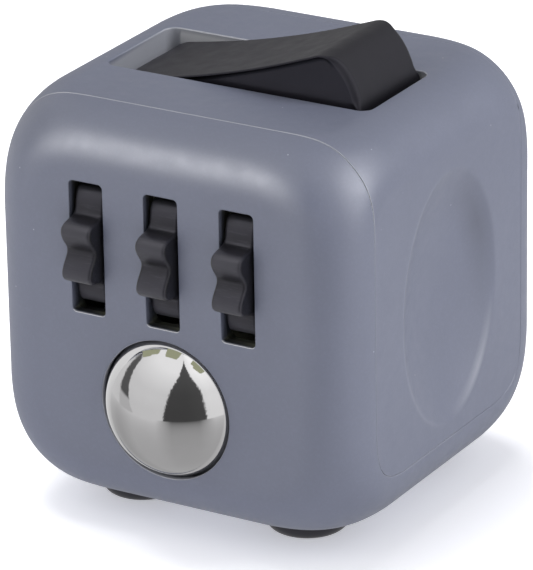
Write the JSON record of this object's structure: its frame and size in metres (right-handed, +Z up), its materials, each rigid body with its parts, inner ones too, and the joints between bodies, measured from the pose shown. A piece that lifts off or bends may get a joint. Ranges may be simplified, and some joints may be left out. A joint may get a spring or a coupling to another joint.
{
  "type": "fidget cube",
  "caption": "Pocket desk cube with a rocker, spin wheels and roller ball, a worry dish, a spin dial, a glide stick and click buttons, one set of controls to each face.",
  "frame": {"origin": "tip of the centre click button, on the resting plane, straight below the middle of the cube", "axes": "+Z up out of the rocker face, -Y out of the wheel and ball face, +X out of the worry dish face"},
  "size_m": [0.0354, 0.0397, 0.0389],
  "materials": {
    "casing": "satin moulded ABS, blue-grey",
    "control_black": "satin moulded ABS, black",
    "button_black": "satin moulded ABS, black",
    "stick_rubber": "soft matt rubber",
    "ball_steel": "mirror polished steel",
    "inner_plastic": "moulded, unfinished",
    "white_acetal": "self-lubricating, slightly waxy",
    "steel": "drawn wire and turned pins",
    "zinc_screw": "zinc plated",
    "silicone": "soft translucent grey"
  },
  "bodies": {
    "cube": {"top_shell": "casing", "base_shell": "casing", "chassis": "inner_plastic", "rocker_housing": "casing", "rocker_housing_screws": "zinc_screw", "rocker_pin": "steel", "wheel_axle": "steel", "axle_spacers": "white_acetal", "axle_clips": "steel", "wheel_bracket": "inner_plastic", "bracket_screws": "zinc_screw", "wheel_detent_spring": "steel", "ball_return_pad": "silicone", "dial_click_spring": "steel", "joystick_housing": "inner_plastic", "joystick_ring_pins": "steel", "joystick_screws": "zinc_screw", "joystick_return_pad": "silicone", "button_guide_plate": "inner_plastic", "guide_plate_screws": "zinc_screw", "click_domes": "silicone", "button_spring_front_left": "steel", "button_spring_front_right": "steel", "button_spring_back_left": "steel", "button_spring_back_right": "steel", "button_spring_centre": "steel"},
    "rocker": {"rocker": "control_black", "rocker_plunger": "white_acetal", "rocker_spring": "steel"},
    "wheel_left": {"wheel_left": "control_black"},
    "wheel_middle": {"wheel_middle": "control_black"},
    "wheel_right": {"wheel_right": "control_black"},
    "ball_carrier": {"ball_cup": "white_acetal"},
    "ball_race": {"ball_race": "white_acetal"},
    "ball": {"ball": "ball_steel"},
    "dial": {"dial": "control_black", "dial_ratchet": "white_acetal", "dial_screw": "zinc_screw"},
    "joystick_ring": {"joystick_ring": "white_acetal", "joystick_stick_pins": "steel"},
    "joystick": {"joystick_dome": "control_black", "joystick_cap": "stick_rubber"},
    "button_front_left": {"button_front_left": "button_black"},
    "button_front_right": {"button_front_right": "button_black"},
    "button_back_left": {"button_back_left": "button_black"},
    "button_back_right": {"button_back_right": "button_black"},
    "button_centre": {"button_centre": "button_black"}
  },
  "joints": [
    {"name": "rocker_tilt", "type": "hinge", "parent": "cube", "child": "rocker", "pos_m": [0, 0, 0.031], "axis": [0, 1, 0], "range_deg": [0, 30]},
    {"name": "wheel_left_spin", "type": "hinge", "parent": "cube", "child": "wheel_left", "pos_m": [-0.00682, -0.01346, 0.02408], "axis": [1, 0, 0], "continuous": true},
    {"name": "wheel_middle_spin", "type": "hinge", "parent": "cube", "child": "wheel_middle", "pos_m": [0, -0.01346, 0.02408], "axis": [1, 0, 0], "continuous": true},
    {"name": "wheel_right_spin", "type": "hinge", "parent": "cube", "child": "wheel_right", "pos_m": [0.00682, -0.01346, 0.02408], "axis": [1, 0, 0], "continuous": true},
    {"name": "ball_press", "type": "slide", "parent": "cube", "child": "ball_carrier", "axis": [0, 1, 0], "range_m": [0, 0.0008], "stiffness_N_per_m": 600, "springref_m": -0.002},
    {"name": "ball_race_turn", "type": "hinge", "parent": "ball_carrier", "child": "ball_race", "pos_m": [0, -0.01364, 0.01169], "axis": [0, 1, 0], "continuous": true},
    {"name": "ball_roll", "type": "hinge", "parent": "ball_race", "child": "ball", "pos_m": [0, -0.01364, 0.01169], "axis": [1, 0, 0], "continuous": true},
    {"name": "dial_spin", "type": "hinge", "parent": "cube", "child": "dial", "pos_m": [-0.0165, 0, 0.0185], "axis": [1, 0, 0], "continuous": true},
    {"name": "joystick_side", "type": "hinge", "parent": "cube", "child": "joystick_ring", "pos_m": [0, 0.0115, 0.0185], "axis": [0, 0, 1], "range_deg": [-10, 10], "stiffness_Nm_per_rad": 0.01},
    {"name": "joystick_up", "type": "hinge", "parent": "joystick_ring", "child": "joystick", "pos_m": [0, 0.0115, 0.0185], "axis": [1, 0, 0], "range_deg": [-10, 10], "stiffness_Nm_per_rad": 0.01},
    {"name": "click_front_left", "type": "slide", "parent": "cube", "child": "button_front_left", "axis": [0, 0, 1], "range_m": [0, 0.0012], "stiffness_N_per_m": 60, "springref_m": -0.002, "deforming": ["button_spring_front_left"]},
    {"name": "click_front_right", "type": "slide", "parent": "cube", "child": "button_front_right", "axis": [0, 0, 1], "range_m": [0, 0.0012], "stiffness_N_per_m": 60, "springref_m": -0.002, "deforming": ["button_spring_front_right"]},
    {"name": "click_back_left", "type": "slide", "parent": "cube", "child": "button_back_left", "axis": [0, 0, 1], "range_m": [0, 0.0012], "stiffness_N_per_m": 60, "springref_m": -0.002, "deforming": ["button_spring_back_left"]},
    {"name": "click_back_right", "type": "slide", "parent": "cube", "child": "button_back_right", "axis": [0, 0, 1], "range_m": [0, 0.0012], "stiffness_N_per_m": 60, "springref_m": -0.002, "deforming": ["button_spring_back_right"]},
    {"name": "click_centre", "type": "slide", "parent": "cube", "child": "button_centre", "axis": [0, 0, 1], "range_m": [0, 0.0012], "stiffness_N_per_m": 60, "springref_m": -0.002, "deforming": ["button_spring_centre"]}
  ]
}
